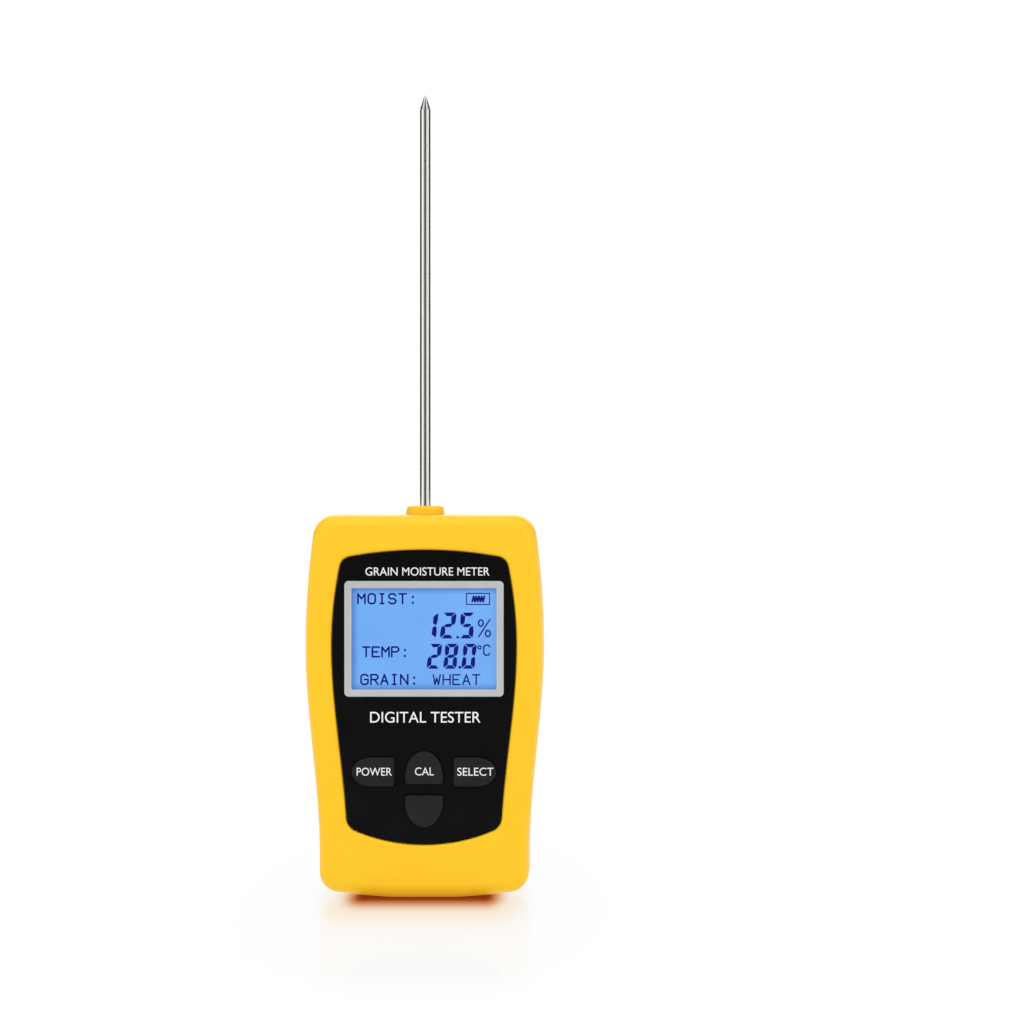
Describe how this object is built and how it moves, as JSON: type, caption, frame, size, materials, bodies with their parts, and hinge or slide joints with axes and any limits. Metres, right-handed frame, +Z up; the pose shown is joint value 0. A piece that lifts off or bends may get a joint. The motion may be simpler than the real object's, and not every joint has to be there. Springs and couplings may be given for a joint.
{
  "type": "grain moisture meter",
  "caption": "Handheld grain moisture meter: waisted two-shell case with a backlit display, press keys and a rear battery door, and a long pointed steel probe out of its top.",
  "frame": {"origin": "centre of the level base of the case, on the front shell", "axes": "+Z up along the probe, +X to the reader's right, -Y out of the display, +Y out of the battery door"},
  "size_m": [0.09, 0.034, 0.302],
  "materials": {
    "yellow_case": "moulded ABS, fine satin texture",
    "black_fascia": "hard-coated sheet with white print",
    "silver_bezel": "silver-painted plastic, satin",
    "clear_lens": "clear acrylic",
    "lcd_cell": "backlit blue liquid crystal display with dark segments",
    "light_guide": "milky acrylic",
    "white_moulding": "moulded nylon",
    "grey_key": "soft-touch, white print",
    "black_rubber": "matt",
    "grey_silicone": "matt silicone rubber",
    "carbon_pill": "conductive, matt",
    "green_board": "glass-epoxy board, green solder mask",
    "black_component": "moulded epoxy",
    "tin_part": "bright can",
    "probe_steel": "polished stainless steel",
    "spring_steel": "nickel plated",
    "screw_steel": "zinc plated",
    "brass": "turned, satin",
    "blue_cell_wrap": "printed shrink wrap, bare steel ends",
    "wire_insulation": "PVC insulation"
  },
  "bodies": {
    "case": {"front_case": "yellow_case", "rear_case": "yellow_case", "case_screw_1": "screw_steel", "case_screw_2": "screw_steel", "case_screw_3": "screw_steel", "case_screw_4": "screw_steel", "fascia_plate": "black_fascia", "display_bezel": "silver_bezel", "display_lens": "clear_lens", "display_gasket": "black_rubber", "lcd_cell": "lcd_cell", "display_carrier": "white_moulding", "backlight_guide": "light_guide", "backlight_lamps": "white_moulding", "lower_zebra_strip": "grey_silicone", "upper_zebra_strip": "grey_silicone", "keypad_mat": "grey_silicone", "power_dome": "grey_silicone", "cal_dome": "grey_silicone", "select_dome": "grey_silicone", "lower_dome": "grey_silicone", "main_board": "green_board", "board_screw_1": "screw_steel", "board_screw_2": "screw_steel", "microcontroller": "black_component", "sensor_amplifier": "black_component", "clock_crystal": "tin_part", "buzzer": "black_component", "filter_capacitor": "tin_part", "battery_left": "blue_cell_wrap", "battery_right": "blue_cell_wrap", "lower_contact_spring": "spring_steel", "upper_contact_spring": "spring_steel", "negative_contact": "spring_steel", "positive_contact": "spring_steel", "bridge_contact": "spring_steel", "negative_wire": "wire_insulation", "positive_wire": "wire_insulation", "probe_collar": "yellow_case", "probe_ferrule": "brass", "probe_nut": "brass", "probe_seal": "black_rubber", "probe_tube": "probe_steel", "probe_tip": "probe_steel", "inner_electrode": "brass", "electrode_sleeve": "white_moulding", "temperature_sensor": "black_component", "probe_socket": "white_moulding", "probe_plug": "white_moulding", "probe_signal_wire": "wire_insulation", "probe_sensor_wire": "wire_insulation"},
    "power_key_body": {"power_key": "grey_key", "power_pill": "carbon_pill"},
    "cal_key_body": {"cal_key": "grey_key", "cal_pill": "carbon_pill"},
    "select_key_body": {"select_key": "grey_key", "select_pill": "carbon_pill"},
    "lower_key_body": {"lower_key": "grey_key", "lower_pill": "carbon_pill"},
    "battery_cover_body": {"battery_cover": "yellow_case"}
  },
  "joints": [
    {"name": "power_press", "type": "slide", "parent": "case", "child": "power_key_body", "axis": [0, 1, 0], "range_m": [0, 0.0012], "stiffness_N_per_m": 400, "deforming": ["power_dome"]},
    {"name": "cal_press", "type": "slide", "parent": "case", "child": "cal_key_body", "axis": [0, 1, 0], "range_m": [0, 0.0012], "stiffness_N_per_m": 400, "deforming": ["cal_dome"]},
    {"name": "select_press", "type": "slide", "parent": "case", "child": "select_key_body", "axis": [0, 1, 0], "range_m": [0, 0.0012], "stiffness_N_per_m": 400, "deforming": ["select_dome"]},
    {"name": "lower_press", "type": "slide", "parent": "case", "child": "lower_key_body", "axis": [0, 1, 0], "range_m": [0, 0.0012], "stiffness_N_per_m": 400, "deforming": ["lower_dome"]},
    {"name": "battery_cover_hinge", "type": "hinge", "parent": "case", "child": "battery_cover_body", "pos_m": [0, 0.0169, 0.0175], "axis": [-1, 0, 0], "range_deg": [0, 75]}
  ]
}
